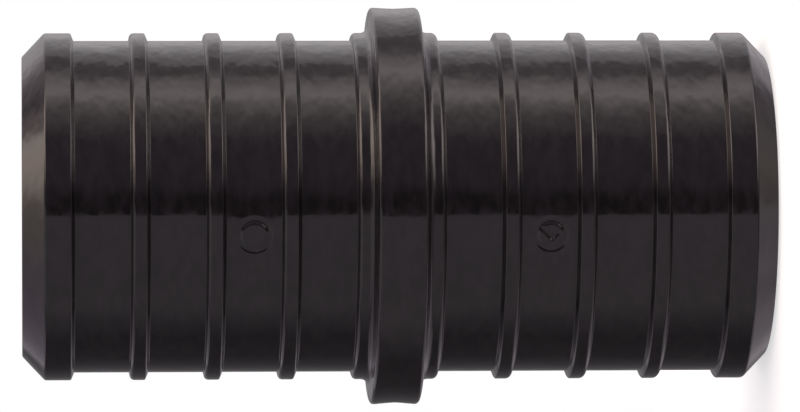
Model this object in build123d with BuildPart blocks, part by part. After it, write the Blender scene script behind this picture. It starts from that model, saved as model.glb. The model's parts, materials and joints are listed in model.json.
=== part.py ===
from build123d import *

import math
import os

# A straight coupling for 1-inch crosslinked polyethylene tube, injection moulded in
# one piece. Two ribbed inserts lie on one axis with a stop flange between them. A
# tube slides over each insert up to the flange, and a ring crimped round the tube
# presses it down on to the ribs.
#
# The axis is +Z. The coupling stands on the end face of its lower insert, and the
# origin is the centre of that face. Sizes are in millimetres and angles in degrees.

# Along the axis, for one insert
insert_length = 22.06  # end face to flange, at the flange's rim
nose_length = 1.44  # lead-in that starts the tube
land_length = 1.52  # full-size land between the lead-in and the first groove
collar_length = 0.92  # full-size collar between the last groove and the flange

# Across the axis
rib_radius = 11.0  # crests of the ribs, the land and the collar
rib_height = 0.49  # crest down to the floor of a groove
wall = 2.1  # groove floor to bore
nose_drop = 1.51  # how far the lead-in falls below the crests

# Ribs
rib_count = 3
rib_width = 0.67  # across the crest
rib_flank_draft = 30.0  # each flank leans this far from square

# Stop flange
flange_width = 3.08  # across the rim
flange_rise = 1.61  # rim above the crests
flange_side_draft = 4.5  # each side leans this far, so that the part leaves the mould
flange_root_round = 0.5
flange_rim_ease = 0.16  # small flat along each edge of the rim

# Gate mark: the scar where the runner was sheared off the rim of the flange
gate_depth = 0.14
gate_cutter_radius = 6.4

# Sizes that follow from those above
half_length = insert_length + flange_width / 2
flange_radius = rib_radius + flange_rise
floor_radius = rib_radius - rib_height
nose_radius = rib_radius - nose_drop
bore_radius = floor_radius - wall
side_run = flange_rise * math.tan(math.radians(flange_side_draft))

# The grooves share the length between land and collar evenly with the ribs
groove_count = rib_count + 1
land_end = nose_length + land_length
ribbed_length = insert_length - land_end - collar_length
groove_pitch = (ribbed_length + rib_width) / groove_count
groove_mouth = groove_pitch - rib_width
first_groove = land_end + groove_mouth / 2


def corners(section, radius):
    """Corners of the section that lie at this distance from the axis, lowest first."""
    on_radius = section.vertices().filter_by(lambda corner: abs(corner.X - radius) < 1e-4)
    return on_radius.sort_by(Axis.Y)


with BuildPart() as coupling:
    # Half of the section: distance from the axis across, height up to mid-length
    with BuildSketch(Plane.XZ) as section:
        with BuildLine():
            Polyline(
                (bore_radius, half_length),
                (bore_radius, 0),
                (nose_radius, 0),
                (rib_radius, nose_length),
                (rib_radius, insert_length - side_run),
                (flange_radius, insert_length),
                (flange_radius, half_length),
                close=True,
            )
        make_face()

        # The grooves leave the ribs standing between them
        with Locations(*[(rib_radius, first_groove + groove_pitch * i) for i in range(groove_count)]):
            Trapezoid(
                groove_mouth,
                rib_height,
                90 - rib_flank_draft,
                rotation=90,
                align=(Align.CENTER, Align.MIN),
                mode=Mode.SUBTRACT,
            )

        flange_root = corners(section, rib_radius)[-1]
        fillet(flange_root, flange_root_round)
        rim_edge = corners(section, flange_radius)[0]
        chamfer(rim_edge, flange_rim_ease)

    revolve(axis=Axis.Z)
    mirror(about=Plane.XY.offset(half_length))

    # The shear that takes off the runner leaves a shallow saddle across the rim
    with BuildSketch(Plane.XZ) as gate:
        with Locations((-(flange_radius + gate_cutter_radius - gate_depth), half_length)):
            Circle(gate_cutter_radius)
    extrude(amount=flange_radius, both=True, mode=Mode.SUBTRACT)

coupling.part.label = "coupling"

os.makedirs("parts", exist_ok=True)
export_step(coupling.part, "parts/coupling.step")

box = coupling.part.bounding_box()
print(f"coupling {box.size.X:.2f} x {box.size.Y:.2f} x {box.size.Z:.2f} mm, {coupling.part.volume:.0f} mm3")
print(f"ribs every {groove_pitch:.3f} mm, bore {2 * bore_radius:.2f} mm")
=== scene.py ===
# %% [markdown]
# # A moulded PEX coupling standing on its end
#
# The real object is one injection moulding in black engineering plastic. Two ribbed
# inserts share an axis, with a stop flange between them and a bore right through. A
# plastic tube is pushed over each insert, and a ring crimped round the tube holds it.
#
# The solid model is loaded first and fixes every size. Everything in this lesson is
# built around it, in the same frame: metres, +Z up along the axis, the lower end face
# on the floor at z = 0.

# %% Load the solid model
import json
import math

import bpy
import numpy as np
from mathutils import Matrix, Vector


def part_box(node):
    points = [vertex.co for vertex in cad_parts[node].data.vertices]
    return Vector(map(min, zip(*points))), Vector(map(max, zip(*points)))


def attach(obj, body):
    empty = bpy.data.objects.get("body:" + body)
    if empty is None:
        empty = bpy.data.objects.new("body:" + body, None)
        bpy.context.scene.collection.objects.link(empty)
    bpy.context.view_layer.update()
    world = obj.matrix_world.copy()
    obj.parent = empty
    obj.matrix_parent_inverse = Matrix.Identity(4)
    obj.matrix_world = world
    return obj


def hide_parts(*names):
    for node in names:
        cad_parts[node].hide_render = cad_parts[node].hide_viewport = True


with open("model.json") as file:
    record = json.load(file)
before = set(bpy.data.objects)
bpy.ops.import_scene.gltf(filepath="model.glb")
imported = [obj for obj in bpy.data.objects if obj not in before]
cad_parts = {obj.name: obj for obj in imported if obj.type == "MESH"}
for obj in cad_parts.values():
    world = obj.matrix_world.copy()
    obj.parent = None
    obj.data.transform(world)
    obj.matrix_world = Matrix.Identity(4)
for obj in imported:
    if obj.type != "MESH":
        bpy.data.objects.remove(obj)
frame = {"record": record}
bpy.context.view_layer.update()

# %% [markdown]
# ## Sizes
#
# The overall sizes come from the solid model and from the interfaces in its record.
# The rest are the moulding's own dimensions in millimetres. The solid leans its rib
# flanks 30 degrees to stay light. The skin made here has the steeper flanks and the
# small rounds of the real part, and its ribs are 0.1 mm wider at half their height.

# %% Sizes in millimetres
MM = 0.001
low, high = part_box("coupling")
mounts = {mount["name"]: mount for mount in frame["record"]["mounts"]}

height = (high.z - low.z) / MM
flange_radius = high.x / MM
rib_radius = mounts["lower_tube_seat"]["dims"]["r_mm"]
bore_radius = mounts["waterway"]["dims"]["r_mm"]

middle = height / 2
flange_width = 3.08
insert_length = middle - flange_width / 2
nose_length = 1.44
nose_drop = 1.51
rib_height = 0.49
floor_radius = rib_radius - rib_height
groove_count = 4
rib_width = 1.06  # at half its height
front_lean, back_lean = math.radians(12), math.radians(22)  # front is the mouth's side
front_round, back_round, foot_round = 0.30, 0.12, 0.05
bore_round, mouth_round, nose_round = 0.22, 0.20, 0.25
root_round, rim_round = 0.50, 0.27
land_end = 3.18  # half-height point behind the land
collar_start = 20.9  # half-height point in front of the collar
groove_pitch = (collar_start - land_end + rib_width) / groove_count
rim_radius = flange_radius - 0.002  # just inside the solid
rim_sink = 0.07  # the thick flange shrinks most, so its rim is slightly hollow
flange_lean = math.radians(4.5)
side_run = (flange_radius - rib_radius) * math.tan(flange_lean)
print(f"{height:.1f} mm tall, ribs {2 * rib_radius:.1f} mm across, flange {2 * flange_radius:.2f} mm")

# %% [markdown]
# ## The outline
#
# The body is a closed section carried round the axis. It could also be a stack of
# cones and cylinders with a Bevel modifier, but then every edge would have one and the
# same round. Here the outline is a list of corners, each with the radius that the mould
# gives it, and a rib is rounder towards the mouth. A corner becomes an arc that
# is tangent to both of its lines, so the finished skin has no crease to catch a hard
# highlight. The straight stretches get a point close to each arc, which keeps the
# smooth shading of the arc from leaking on to the flat beside it.

# %% Corners of the outline, from the lower mouth up the outside to mid-height
def groove_corners(start):
    """Four corners of one groove, from the mouth's side to the flange's: crest, foot, foot, crest."""
    end = start + groove_pitch - rib_width
    front, back = (rib_height / 2 * math.tan(lean) for lean in (front_lean, back_lean))
    return [
        (rib_radius, start - back, back_round),
        (floor_radius, start + back, foot_round),
        (floor_radius, end - front, foot_round),
        (rib_radius, end + front, front_round),
    ]


lower_half = [
    (bore_radius, 0.0, bore_round),
    (rib_radius - nose_drop, 0.0, mouth_round),
    (rib_radius, nose_length, nose_round),
]
for groove in range(groove_count):
    lower_half += groove_corners(land_end + groove * groove_pitch)
lower_half += [
    (rib_radius, insert_length - side_run, root_round),
    (rim_radius, insert_length, rim_round),
]
lower_half = np.array(lower_half)
upper_half = lower_half[::-1] * [1, -1, 1] + [0, height, 0]
corners = np.concatenate([lower_half, upper_half])
print(len(corners), "corners in the closed outline")


# %% Round the corners and sample the outline
def rounded_outline(corners, arc_points, longest_step, focus, fine_step):
    """The closed outline with its corners rounded, as points (across, up).

    At a corner that turns by an angle t, the arc of radius R starts R * tan(t / 2)
    before the corner. Its point at angle a along the turn is the start, plus R * sin(a)
    along the incoming line, plus R * (1 - cos(a)) towards the inside of the turn.
    Straight stretches have points no more than longest_step apart, and fine_step apart
    inside each (middle, half length) of focus.
    """
    points, radii = corners[:, :2], corners[:, 2]
    leg = np.roll(points, -1, 0) - points
    outgoing = leg / np.linalg.norm(leg, axis=1)[:, None]
    incoming = np.roll(outgoing, 1, 0)
    turn = np.arctan2(
        incoming[:, 0] * outgoing[:, 1] - incoming[:, 1] * outgoing[:, 0],
        (incoming * outgoing).sum(1),
    )
    reach = radii * np.tan(np.abs(turn) / 2)
    inward = np.sign(turn)[:, None] * np.stack([-incoming[:, 1], incoming[:, 0]], 1)
    angle = np.abs(turn)[:, None, None] * np.linspace(0, 1, arc_points)[None, :, None]
    arcs = (
        (points - reach[:, None] * incoming)[:, None, :]
        + radii[:, None, None] * np.sin(angle) * incoming[:, None, :]
        + radii[:, None, None] * (1 - np.cos(angle)) * inward[:, None, :]
    )
    guard = 0.035  # how far from an arc its first flat point lies
    margin = 0.1  # how far a coarse point stays from the fine ones
    pieces = []
    for arc, after in zip(arcs, np.roll(arcs, -1, 0)):
        pieces.append(arc)
        start, end = arc[-1], after[0]
        length = np.linalg.norm(end - start)
        if length < 3 * guard:
            continue
        count = max(2, int(np.ceil(length / longest_step)) + 1)
        places = np.linspace(guard, length - guard, count)
        outside = min(start[0], end[0]) > bore_radius + 1
        for centre, half in focus if outside else []:
            low_place, high_place = centre - half - start[1], centre + half - start[1]
            if low_place > guard and high_place < length - guard:
                fine = np.linspace(low_place, high_place, int(2 * half / fine_step) + 1)
                coarse = (places < low_place - margin) | (places > high_place + margin)
                places = np.sort(np.concatenate([places[coarse], fine]))
        pieces.append(start + (end - start) / length * places[:, None])
    return np.concatenate(pieces)


# The two round mould marks lie on the barrel between the second and the third rib
mark_azimuth = math.radians(-90 - 9.95)
mark_heights = (middle + 9.17, middle - 9.27)
mark_radii = (0.97, 0.92)
mark_field = 1.3  # half the side of the fine patch round a mark
fine_step = 0.06

outline = rounded_outline(
    corners,
    arc_points=6,
    longest_step=1.7,
    focus=[(z, mark_field) for z in mark_heights],
    fine_step=fine_step,
)
print(len(outline), "points along the outline")

# %% [markdown]
# ## Directions round the axis
#
# The outline is repeated in many directions round the axis. A Screw modifier would
# space them evenly, but small details need close ones. So most are 3 degrees apart,
# which bends light as a true circle does, and they close up across the two mould marks,
# over the gate scar, and at the two witness lines where the mould's halves met.


# %% Choose the directions
def directions(step, patches):
    """Sorted angles in degrees over one turn.

    They are a step apart, and closer inside each patch, which is given by its middle,
    its half width and its own step.
    """
    angles = np.arange(0.0, 360.0, step)
    for centre, half, fine in patches:
        away = np.abs((angles - centre + 180) % 360 - 180)
        close = centre + np.linspace(-half, half, int(round(2 * half / fine)) + 1)
        angles = np.concatenate([angles[away > half + fine], close % 360])
    return np.sort(angles)


parting_azimuths = (0.0, 180.0)
gate_azimuth = 180.0
mark_degrees = math.degrees(mark_azimuth) % 360
mark_half = math.degrees(mark_field / floor_radius)
mark_step = math.degrees(fine_step / floor_radius)
patches = [(mark_degrees, mark_half, mark_step), (gate_azimuth, 10.0, 1.0)]
patches += [(azimuth, 1.2, 0.12) for azimuth in parting_azimuths]
turns = np.radians(directions(3.0, patches))
print(len(turns), "directions")

# %% [markdown]
# ## The skin
#
# The outline is carried round the axis, and then a few details are pressed into it.
# Each of these is left by the mould on the real part. The runner is sheared off the
# rim of the flange and leaves a shallow saddle. The mould's two halves leave a hair
# of flash where they meet. Two round inserts in the mould leave a ring, one of them with
# a pointer in it, on a low swell of the barrel between the second and the third rib.
# They could be painted as bumps in a shader, but real relief also shows at the edge of
# the object.


# %% Helpers for relief
def smooth_bump(distance, half_width):
    """1 at distance 0, falling as half a cosine wave to 0 at half_width, and 0 beyond it."""
    reach = np.clip(np.abs(distance) / half_width, 0, 1)
    return 0.5 * (1 + np.cos(np.pi * reach))


def distance_to_segment(u, v, start, end):
    """Distance from (u, v) to the nearest point of the segment.

    The nearest point is start + t * (end - start), where t is the share of the segment
    that the point projects on to, kept between 0 and 1.
    """
    du, dv = end[0] - start[0], end[1] - start[1]
    t = np.clip(((u - start[0]) * du + (v - start[1]) * dv) / (du * du + dv * dv), 0, 1)
    return np.hypot(u - start[0] - t * du, v - start[1] - t * dv)


ring_depth, ring_half_width = 0.075, 0.28
stroke_depth, stroke_half_width = 0.06, 0.22
swell_reach = 1.8


def mould_mark(u, v, radius, pointer, swell):
    """Height of a round insert's mark, in mm, at u across and v up from its middle.

    A ring groove follows the insert's edge, and the pointer is a groove along straight
    strokes inside it. The whole stands on a low swell in the shape of a bell curve.
    """
    away = np.hypot(u, v)
    raised = -ring_depth * smooth_bump(away - radius, ring_half_width)
    for start, end in zip(pointer[:-1], pointer[1:]):
        stroke = distance_to_segment(u, v, start, end)
        raised -= stroke_depth * smooth_bump(stroke, stroke_half_width)
    return raised + swell * np.exp(-((away / swell_reach) ** 2))


pointers = ([], [(0.38, 0.51), (-0.19, -0.06), (0.13, -0.38)])
mark_swells = (0.085, 0.055)
print("mould marks at", [round(z, 2) for z in mark_heights], "mm")


# %% Carry the outline round and press the details in
flash_height, flash_half_width = 0.012, 0.07
cutter_radius, gate_depth, gate_half_length = 6.4, 0.14, 1.6


def angle_from(turns, azimuth):
    """The angle from azimuth to each turn, in radians between minus pi and pi."""
    return (turns - azimuth + math.pi) % (2 * math.pi) - math.pi


def coupling_surface(outline, turns):
    """Points (turns x outline x 3) in millimetres, and how far each was sheared at the gate.

    A point is (r cos a, r sin a, z) for the outline's (r, z) and the direction a. Relief
    moves it along the outline's outward normal, which is the outline's own direction
    turned a quarter turn to the right. The gate then pushes every point of the rim back
    to the cutter, a cylinder that lies along y outside the rim and reaches gate_depth
    into it: its surface is at x = middle of the cutter + sqrt(cutter_radius ** 2 - height
    above mid-height ** 2).
    """
    along = np.roll(outline, -1, 0) - np.roll(outline, 1, 0)
    along /= np.linalg.norm(along, axis=1)[:, None]
    r, z = outline[:, 0][None, :], outline[:, 1][None, :]
    normal_r, normal_z = along[:, 1][None, :], -along[:, 0][None, :]
    a = turns[:, None]

    relief = np.zeros((len(turns), len(outline)))
    # The marks lie on the floors of the grooves
    on_floor = smooth_bump(r - floor_radius, 0.12)
    for mark_z, mark_r, pointer, swell in zip(mark_heights, mark_radii, pointers, mark_swells):
        u = floor_radius * angle_from(a, mark_azimuth)
        relief += on_floor * mould_mark(u, z - mark_z, mark_r, pointer, swell)
    # The flash fades out at the end faces, and the bore has none
    from_end = np.minimum(z, height - z)
    flash = flash_height * np.clip(from_end / 0.3, 0, 1)
    flash = flash * np.clip((r - bore_radius - 0.6) / 0.2, 0, 1)
    for azimuth in parting_azimuths:
        across = r * angle_from(a, math.radians(azimuth))
        relief += flash * smooth_bump(across, flash_half_width)
    # The rim is hollow between its two rounded edges
    hollow = smooth_bump(z - middle, flange_width / 2 - 0.25)
    relief -= rim_sink * hollow * (r > flange_radius - 0.06)

    r = np.minimum(r + relief * normal_r, rim_radius)
    x, y, z = r * np.cos(a), r * np.sin(a), z + relief * normal_z + 0 * a
    cutter_x = -(flange_radius + cutter_radius - gate_depth)
    height_from_middle = np.clip(np.abs(z - middle), 0, cutter_radius)
    cut = cutter_x + np.sqrt(cutter_radius**2 - height_from_middle**2)
    in_reach = (height_from_middle < gate_half_length) & (r > rib_radius)
    sheared = np.where(in_reach, np.maximum(cut - x, 0), 0)
    return np.stack([x + sheared, y, z], -1), sheared


skin_points, sheared = coupling_surface(outline, turns)
print("grid:", skin_points.shape[:2], "deepest gate cut:", round(sheared.max(), 3), "mm")

# %% [markdown]
# ## From the grid to a mesh
#
# The grid closes on itself in both directions, as a tyre does, so the mesh has no
# seam, no pole and no edge. Joining its points could be done face by face, but whole
# arrays are much faster. The UV map is in millimetres: round the barrel one way, and
# along the outline the other.


# %% Make the mesh
def closed_grid_mesh(name, points, around, along):
    """A mesh of quads from a grid that closes both ways, with a UV map.

    around and along are the UV values of the rows and the columns, with one more at the
    end of each for the place where the grid closes.
    """
    rows, columns = points.shape[:2]
    i, j = np.meshgrid(np.arange(rows), np.arange(columns), indexing="ij")
    next_i, next_j = i + 1, j + 1
    ring = [(i, j), (next_i, j), (next_i, next_j), (i, next_j)]
    quads = np.stack([(a % rows) * columns + b % columns for a, b in ring], -1).reshape(-1, 4)
    uv = np.stack([np.stack([around[a], along[b]], -1) for a, b in ring], 2).reshape(-1, 2)

    mesh = bpy.data.meshes.new(name)
    mesh.vertices.add(rows * columns)
    mesh.vertices.foreach_set("co", (points * MM).astype(np.float32).ravel())
    mesh.loops.add(quads.size)
    mesh.loops.foreach_set("vertex_index", quads.ravel())
    mesh.polygons.add(len(quads))
    mesh.polygons.foreach_set("loop_start", np.arange(0, quads.size, 4))
    mesh.update(calc_edges=True)
    mesh.uv_layers.new(name="millimetres").data.foreach_set("uv", uv.astype(np.float32).ravel())
    mesh.polygons.foreach_set("use_smooth", np.ones(len(quads), dtype=bool))
    mesh.validate()
    return mesh


steps = np.linalg.norm(np.roll(outline, -1, 0) - outline, axis=1)
run = np.concatenate([[0], np.cumsum(steps)])
around = floor_radius * np.append(turns, turns[0] + 2 * math.pi)
skin_mesh = closed_grid_mesh("coupling_skin", skin_points, around, run)
fully_torn = 0.03  # a cut this deep shows bare torn plastic
skin_mesh.attributes.new("sheared", "FLOAT", "POINT").data.foreach_set(
    "value", np.clip(sheared / fully_torn, 0, 1).astype(np.float32).ravel()
)
skin = bpy.data.objects.new("coupling_skin", skin_mesh)
bpy.context.scene.collection.objects.link(skin)
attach(skin, "root")
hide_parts("coupling")
print(len(skin_mesh.polygons) * 2, "triangles")

# %% [markdown]
# ## The plastic
#
# Plastic crimp fittings are moulded in polyphenylsulfone, which is tough and bears hot
# water, and this one is coloured black. It takes its gloss from a polished steel
# mould. That gives the eye clear, pale reflections on an almost black body. The
# reflections waver slightly, because the plastic shrinks unevenly and because the
# steel was turned on a lathe, which leaves faint lines round the barrel. All of this is
# less than a tenth of a millimetre deep, too fine for a mesh, so it is bump in the
# shader.


# %% Colours and nodes
def linear(hex_colour):
    """Linear RGBA from an sRGB hex colour: ((c + 0.055) / 1.055) ** 2.4, or c / 12.92 when dark."""
    values = [int(hex_colour[k : k + 2], 16) / 255 for k in (1, 3, 5)]
    return [c / 12.92 if c <= 0.04045 else ((c + 0.055) / 1.055) ** 2.4 for c in values] + [1.0]


def add_node(tree, kind, settings=None, inputs=None, stops=()):
    """Adds one node. Settings are its own properties. Inputs hold a value or a socket to link.

    Stops are for a colour ramp. Each is a position from 0 to 1 and the red, green and
    blue there, and the colour goes from stop to stop in straight steps.
    """
    node = tree.nodes.new(kind)
    for key, value in (settings or {}).items():
        setattr(node, key, value)
    for key, value in (inputs or {}).items():
        if isinstance(value, bpy.types.NodeSocket):
            tree.links.new(value, node.inputs[key])
        else:
            node.inputs[key].default_value = value
    for _ in stops[2:]:  # a new ramp has two elements
        node.color_ramp.elements.new(0.5)
    for index, (position, *_) in enumerate(stops):
        node.color_ramp.elements[index].position = position
    for index, (_, *brightness) in enumerate(stops):
        node.color_ramp.elements[index].color = (*brightness, 1)
    return node


def start_tree(owner):
    """An empty node tree on a material or a world."""
    owner.use_nodes = True
    owner.node_tree.nodes.clear()
    return owner.node_tree


print("the black of the plastic in linear light:", [round(c, 4) for c in linear("#100e10")[:3]])

# %% The patterns in black polyphenylsulfone, injection moulded in a polished mould
plastic = bpy.data.materials.new("moulded_polyphenylsulfone")
tree = start_tree(plastic)
place = add_node(tree, "ShaderNodeTexCoord").outputs["Object"]

# Size in mm round the barrel, size in mm along its axis, detail and roughness
patterns = {
    "swells": (14, 5, 1.0, 0.4),  # the plastic shrinks unevenly
    "ripple": (2.4, 1.3, 2.0, 0.5),  # the melt wrinkles as it flows
    "lines": (25, 0.9, 2.0, 0.5),  # the lathe left them in the steel
    "cloud": (1.2, 0.6, 3.0, 0.6),  # patches where the melt froze early
}
noise = {}
for name, (round_mm, along_mm, detail, roughness) in patterns.items():
    scale = (1 / (round_mm * MM), 1 / (round_mm * MM), 1 / (along_mm * MM))
    scaled = add_node(tree, "ShaderNodeMapping", inputs={"Vector": place, "Scale": scale})
    inputs = {"Vector": scaled.outputs[0], "Scale": 1.0, "Detail": detail, "Roughness": roughness}
    noise[name] = add_node(tree, "ShaderNodeTexNoise", inputs=inputs).outputs[0]

# The sheared gate is torn, with a grain of about 0.15 mm
torn = add_node(tree, "ShaderNodeAttribute", {"attribute_name": "sheared"}).outputs["Fac"]
inputs = {"Vector": place, "Scale": 1 / (0.15 * MM), "Detail": 2.0}
noise["grain"] = add_node(tree, "ShaderNodeTexNoise", inputs=inputs).outputs[0]
print("patterns:", ", ".join(noise))

# %% How deep each pattern wavers
# The ripple is deepest on the +X side, where the melt filled the mould last
across = add_node(tree, "ShaderNodeSeparateXYZ", inputs={"Vector": place}).outputs["X"]
inputs = {
    "Value": across,
    "From Min": 1 * MM,
    "From Max": 6 * MM,
    "To Min": 0.03 * MM,
    "To Max": 0.1 * MM,
}
ripple_depth = add_node(tree, "ShaderNodeMapRange", inputs=inputs).outputs[0]

# Each pattern with its strength and its depth lies on the one before it
waver = {
    "swells": (1.0, 0.06 * MM),
    "ripple": (1.0, ripple_depth),
    "lines": (1.0, 0.006 * MM),
    "grain": (torn, 0.04 * MM),
}
normal = {}
for name, (strength, depth) in waver.items():
    inputs = {"Strength": strength, "Distance": depth, "Height": noise[name], **normal}
    normal = {"Normal": add_node(tree, "ShaderNodeBump", inputs=inputs).outputs[0]}
print("waver:", ", ".join(waver))

# %% The gloss and the colour
# The cloud is a little duller and paler than the rest, and the torn gate is matt. A Mix
# node keeps its two numbers in sockets 2 and 3, and its two colours in 6 and 7
inputs = {
    "Value": noise["cloud"],
    "From Min": 0.35,
    "From Max": 0.65,
    "To Min": 0.06,
    "To Max": 0.18,
}
gloss = add_node(tree, "ShaderNodeMapRange", inputs=inputs).outputs[0]
roughness = add_node(
    tree, "ShaderNodeMix", {"data_type": "FLOAT"}, {"Factor": torn, 2: gloss, 3: 0.55}
)
inputs = {"Value": noise["cloud"], "From Min": 0.38, "From Max": 0.62}
haze = add_node(tree, "ShaderNodeMapRange", inputs=inputs).outputs[0]
moulded = add_node(
    tree,
    "ShaderNodeMix",
    {"data_type": "RGBA"},
    {"Factor": haze, 6: linear("#100e10"), 7: linear("#1d191c")},
)
colour = add_node(
    tree,
    "ShaderNodeMix",
    {"data_type": "RGBA"},
    {"Factor": torn, 6: moulded.outputs[2], 7: linear("#2b282a")},
)
shader = add_node(
    tree,
    "ShaderNodeBsdfPrincipled",
    inputs={
        "Base Color": colour.outputs[2],
        "Roughness": roughness.outputs[0],
        "IOR": 1.6,
        **normal,
    },
)
add_node(tree, "ShaderNodeOutputMaterial", inputs={"Surface": shader.outputs[0]})
skin_mesh.materials.append(plastic)
print("material:", plastic.name)

# %% [markdown]
# ## The studio
#
# Black gloss plastic shows little but its surroundings, so the studio is drawn with
# care. Round the object, in turn, stand a warm soft box, a white backdrop behind, a
# dark opening and a grey card. They could be area lights and boards, but what a round
# barrel reflects depends on the direction alone. So they are drawn on the world by
# compass direction, and the camera itself sees plain white everywhere.

# %% Directions round the object
world = bpy.data.worlds.new("studio")
bpy.context.scene.world = world
sky = start_tree(world)
direction = add_node(sky, "ShaderNodeTexCoord").outputs["Generated"]
axes = add_node(sky, "ShaderNodeSeparateXYZ", inputs={"Vector": direction})
east, north, up = (axes.outputs[name] for name in "XYZ")
toward_camera, down = (
    add_node(sky, "ShaderNodeMath", {"operation": "MULTIPLY"}, {0: axis, 1: -1.0}).outputs[0]
    for axis in (north, up)
)
compass = add_node(sky, "ShaderNodeMath", {"operation": "ARCTAN2"}, {0: east, 1: toward_camera})
inputs = {"Value": compass.outputs[0], "From Min": -math.pi, "From Max": math.pi}
share_of_turn = add_node(sky, "ShaderNodeMapRange", inputs=inputs).outputs[0]
print("the directions take", len(sky.nodes), "nodes")

# %% The stands
# Degrees from the camera's side, and the brightness there as red, green and blue
stands = [
    (-180, 0.30, 0.29, 0.30),
    (-165, 0.16, 0.15, 0.16),
    (-145, 0.12, 0.11, 0.12),
    (-130, 0.09, 0.085, 0.09),
    (-103, 0.12, 0.11, 0.12),
    (-90, 0.21, 0.19, 0.21),
    (-72, 0.40, 0.36, 0.39),
    (-5.2, 0.44, 0.385, 0.43),
    (-4.4, 0.07, 0.06, 0.07),
    (6, 0.08, 0.07, 0.08),
    (14, 0.20, 0.17, 0.20),
    (46, 0.25, 0.21, 0.24),
    (54, 0.42, 0.36, 0.39),
    (63, 0.62, 0.54, 0.54),
    (75, 1.15, 1.03, 1.00),
    (84, 1.80, 1.63, 1.57),
    (95, 1.15, 1.02, 1.00),
    (103, 0.55, 0.49, 0.50),
    (107, 0.42, 0.38, 0.40),
    (116.8, 0.42, 0.38, 0.40),
    (118, 0.70, 0.64, 0.67),
    (130, 0.80, 0.75, 0.78),
    (141, 0.97, 0.92, 0.95),
    (156, 0.90, 0.85, 0.88),
    (168, 0.53, 0.50, 0.52),
    (180, 0.30, 0.29, 0.30),
]
stops = [((degrees + 180) / 360, *brightness) for degrees, *brightness in stands]
studio = add_node(sky, "ShaderNodeValToRGB", inputs={"Fac": share_of_turn}, stops=stops).outputs[0]
print(len(stands), "stops round the compass")

# %% [markdown]
# ## Above and below
#
# Above and below the stands the light changes with the tilt away from level, and is not
# the same on the soft box's side and on the other. The chamfered noses of the two
# inserts reflect this light. Softly limited patches of light are enough for this, as
# their edges aren't seen, and a patch needs only a few nodes.


# %% A light in the studio
def with_light(backdrop, limits, light):
    """The backdrop with a light in front of it, as a socket.

    A limit is an axis and the two values on it between which the light comes up, in a
    smooth step from 0 to 1. The light's share is the product of all its steps.
    """
    share = 1.0
    for axis, start, end in limits:
        inputs = {"Value": axis, "From Min": start, "From Max": end}
        step = add_node(sky, "ShaderNodeMapRange", {"interpolation_type": "SMOOTHSTEP"}, inputs)
        inputs = {0: share, 1: step.outputs[0]}
        share = add_node(sky, "ShaderNodeMath", {"operation": "MULTIPLY"}, inputs).outputs[0]
    inputs = {"Factor": share, 6: backdrop, 7: light}
    return add_node(sky, "ShaderNodeMix", {"data_type": "RGBA"}, inputs).outputs[2]


# Tilt away from level, as its sine, and the brightness there as red, green and blue
ceiling_box_side = [
    (0.25, 1.04, 0.96, 1.00),
    (0.45, 0.91, 0.83, 0.87),
    (0.52, 0.84, 0.76, 0.79),
    (0.62, 0.58, 0.49, 0.51),
    (0.70, 0.52, 0.45, 0.47),
    (0.76, 0.32, 0.28, 0.29),
    (0.80, 0.35, 0.31, 0.33),
    (0.83, 0.72, 0.60, 0.60),
    (0.87, 0.80, 0.66, 0.64),
    (0.895, 1.60, 1.39, 1.30),
    (0.92, 2.32, 2.01, 1.81),
    (0.96, 2.40, 1.92, 1.70),
    (0.985, 2.14, 1.80, 1.58),
    (0.994, 1.62, 1.36, 1.22),
    (0.998, 1.08, 0.89, 0.79),
    (1.0, 0.81, 0.70, 0.65),
]
ceiling_far_side = [
    (0.27, 1.03, 0.94, 1.03),
    (0.38, 0.79, 0.71, 0.78),
    (0.46, 0.52, 0.46, 0.52),
    (0.60, 0.48, 0.42, 0.48),
    (0.85, 0.48, 0.40, 0.48),
    (0.93, 0.57, 0.48, 0.54),
    (1.0, 0.75, 0.65, 0.58),
]
ground_box_side = [
    (0.25, 0.82, 0.75, 0.79),
    (0.45, 0.73, 0.66, 0.71),
    (0.57, 0.77, 0.69, 0.74),
    (0.63, 0.67, 0.60, 0.65),
    (0.67, 0.51, 0.45, 0.48),
    (0.71, 0.32, 0.28, 0.30),
    (0.77, 0.38, 0.32, 0.35),
    (0.85, 0.42, 0.36, 0.36),
    (0.89, 0.54, 0.47, 0.47),
    (0.97, 0.63, 0.52, 0.50),
    (1.0, 0.46, 0.40, 0.40),
]
ground_far_side = [
    (0.27, 0.52, 0.47, 0.51),
    (0.46, 0.56, 0.49, 0.54),
    (0.60, 0.50, 0.45, 0.49),
    (0.72, 0.62, 0.53, 0.59),
    (0.80, 0.60, 0.52, 0.58),
    (0.86, 0.55, 0.47, 0.53),
    (0.92, 0.74, 0.62, 0.70),
    (0.97, 0.62, 0.53, 0.59),
    (1.0, 0.76, 0.69, 0.70),
]
print(len(ceiling_far_side), "to", len(ceiling_box_side), "stops overhead")

# %% The ceiling and the ground
ceiling_far, ceiling_box, ground_far, ground_box = (
    add_node(sky, "ShaderNodeValToRGB", inputs={"Fac": tilt}, stops=stops).outputs[0]
    for tilt, stops in (
        (up, ceiling_far_side),
        (up, ceiling_box_side),
        (down, ground_far_side),
        (down, ground_box_side),
    )
)
ceiling = with_light(ceiling_far, [(east, -0.06, 0.06)], ceiling_box)
ground = with_light(ground_far, [(east, -0.03, 0.01)], ground_box)

# The noses only reflect the half behind the object, so the half in front is plain
ceiling = with_light((0.42, 0.37, 0.38, 1), [(north, -0.15, 0.04)], ceiling)
ground = with_light((0.22, 0.19, 0.20, 1), [(north, -0.15, 0.04)], ground)

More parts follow.
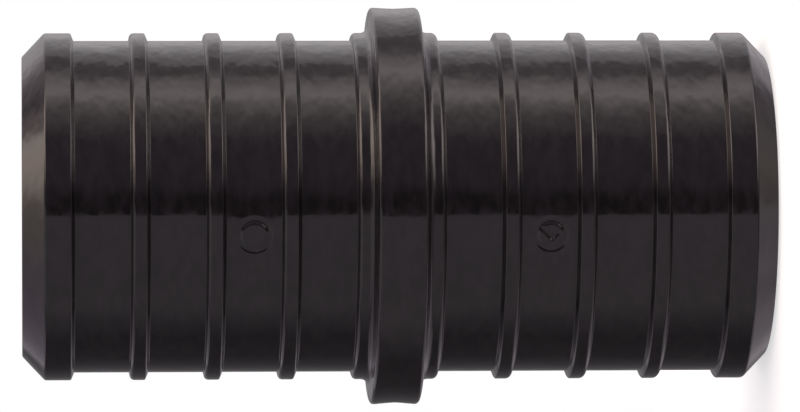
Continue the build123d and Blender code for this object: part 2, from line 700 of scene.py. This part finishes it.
# Behind the object, both reach closer to level than in front of it
inputs = {"Value": north, "From Min": -0.10, "From Max": 0.15, "To Max": 0.45}
closer = add_node(sky, "ShaderNodeMapRange", {"interpolation_type": "SMOOTHSTEP"}, inputs)
for tilt, cover, start, end in ((up, ceiling, 0.75, 0.90), (down, ground, 0.70, 0.85)):
    inputs = {0: tilt, 1: closer.outputs[0]}
    reach = add_node(sky, "ShaderNodeMath", {"operation": "ADD"}, inputs).outputs[0]
    studio = with_light(studio, [(reach, start, end)], cover)
print("with the ceiling and the ground, the world has", len(sky.nodes), "nodes")

# %% [markdown]
# ## Three small lights
#
# A warm lamp hangs high on the soft box's side, a grey one stands low on that side, and
# a shelf is lit high on the other. They draw the thin bright lines on the rounded edges
# of the ribs, of the flange and of the two round marks. They could be part of the
# stands, but then they would also show on the plain barrel. These edges are only a few
# tenths of a millimetre wide, so the two lamps are stronger than the soft box.

# %% Hang the three small lights
toward_box = (east, 0.1, 0.55)
small_lights = {
    "warm lamp": (
        [toward_box, (up, 0.46, 0.66), (north, 0.16, 0.02)],
        (3.1, 2.55, 2.25, 1),
    ),
    "grey lamp": (
        [toward_box, (down, 0.40, 0.60), (north, 0.0, -0.12), (down, 0.96, 0.88)],
        (2.5, 2.22, 2.15, 1),
    ),
    "shelf": (
        [(east, 0.02, -0.06), (up, 0.35, 0.6), (north, -0.1, -0.25)],
        (0.60, 0.56, 0.58, 1),
    ),
}
for limits, light in small_lights.values():
    studio = with_light(studio, limits, light)
print("small lights:", ", ".join(small_lights))

# %% White for the camera
ray = add_node(sky, "ShaderNodeLightPath").outputs
inputs = {0: ray["Is Camera Ray"], 1: ray["Is Transmission Ray"]}
direct = add_node(sky, "ShaderNodeMath", {"operation": "MAXIMUM"}, inputs).outputs[0]
inputs = {"Factor": direct, 6: studio, 7: (1, 1, 1, 1)}
seen = add_node(sky, "ShaderNodeMix", {"data_type": "RGBA"}, inputs).outputs[2]
glow = add_node(sky, "ShaderNodeBackground", inputs={"Color": seen, "Strength": 1.0})
add_node(sky, "ShaderNodeOutputWorld", inputs={"Surface": glow.outputs[0]})
print("world:", len(sky.nodes), "nodes")

# %% [markdown]
# ## The floor
#
# The floor is a pale round board. The camera sees its own shading on top of a white
# glow, so the board melts into the white room but still keeps the object's shadow.
# Reflections look through it to the studio, as they would on a glass table, so the
# lower insert shows the same lights as the upper one.

# %% The floor board
board_radius, board_sides = 0.075, 128
turn = np.linspace(0, 2 * math.pi, board_sides, endpoint=False)
rim = np.stack([board_radius * np.cos(turn), board_radius * np.sin(turn), 0 * turn], 1)
floor_mesh = bpy.data.meshes.new("floor")
floor_mesh.from_pydata(rim.tolist(), [], [list(range(board_sides))])
floor = bpy.data.objects.new("floor", floor_mesh)
bpy.context.scene.collection.objects.link(floor)

board = bpy.data.materials.new("painted_board")
tree = start_tree(board)
paint = add_node(tree, "ShaderNodeBsdfDiffuse", inputs={"Color": linear("#e6e6e6")})
ray = add_node(tree, "ShaderNodeLightPath").outputs
inputs = {0: ray["Is Camera Ray"], 1: ray["Is Transmission Ray"]}
direct = add_node(tree, "ShaderNodeMath", {"operation": "MAXIMUM"}, inputs).outputs[0]
glow_level = add_node(tree, "ShaderNodeMath", {"operation": "MULTIPLY"}, {0: direct, 1: 0.6})
inputs = {"Color": (1, 1, 1, 1), "Strength": glow_level.outputs[0]}
glow = add_node(tree, "ShaderNodeEmission", inputs=inputs)
both = add_node(tree, "ShaderNodeAddShader", inputs={0: paint.outputs[0], 1: glow.outputs[0]})
clear = add_node(tree, "ShaderNodeBsdfTransparent")
surface = add_node(
    tree,
    "ShaderNodeMixShader",
    inputs={0: ray["Is Glossy Ray"], 1: both.outputs[0], 2: clear.outputs[0]},
)
add_node(tree, "ShaderNodeOutputMaterial", inputs={"Surface": surface.outputs[0]})
floor_mesh.materials.append(board)
print("floor:", 2 * board_radius, "m across")

# %% [markdown]
# ## The camera
#
# A long lens looks at the standing object level with its upper end face, 0.43 m
# away. The camera is turned on its side, so the axis lies across the picture. It could
# be aimed with a constraint, but three vectors at right angles keep the turn in view.

# %% The camera
from mathutils import Matrix, Vector

camera_place = Vector((0, -0.428, height * MM))
target = Vector((-0.000005, 0, 0.023167))
forward = (target - camera_place).normalized()
roll = math.radians(0.15)
right = Vector((-math.sin(roll), 0, -math.cos(roll)))
right = (right - forward * right.dot(forward)).normalized()
upward = right.cross(forward)
facing = Matrix((right, upward, -forward)).transposed().to_4x4()

lens = bpy.data.cameras.new("camera")
lens.sensor_width = 36
lens.lens = 303.1
lens.clip_start = 0.01
camera = bpy.data.objects.new("camera", lens)
camera.matrix_world = Matrix.Translation(camera_place) @ facing
bpy.context.scene.collection.objects.link(camera)
bpy.context.scene.camera = camera
bpy.context.scene.view_settings.view_transform = "Standard"
print("camera at", [round(value, 4) for value in camera_place])

# %% [markdown]
# ## Finish
#
# The last line brings the view layer up to date.

# %% Update the view layer and finish
bpy.context.view_layer.update()
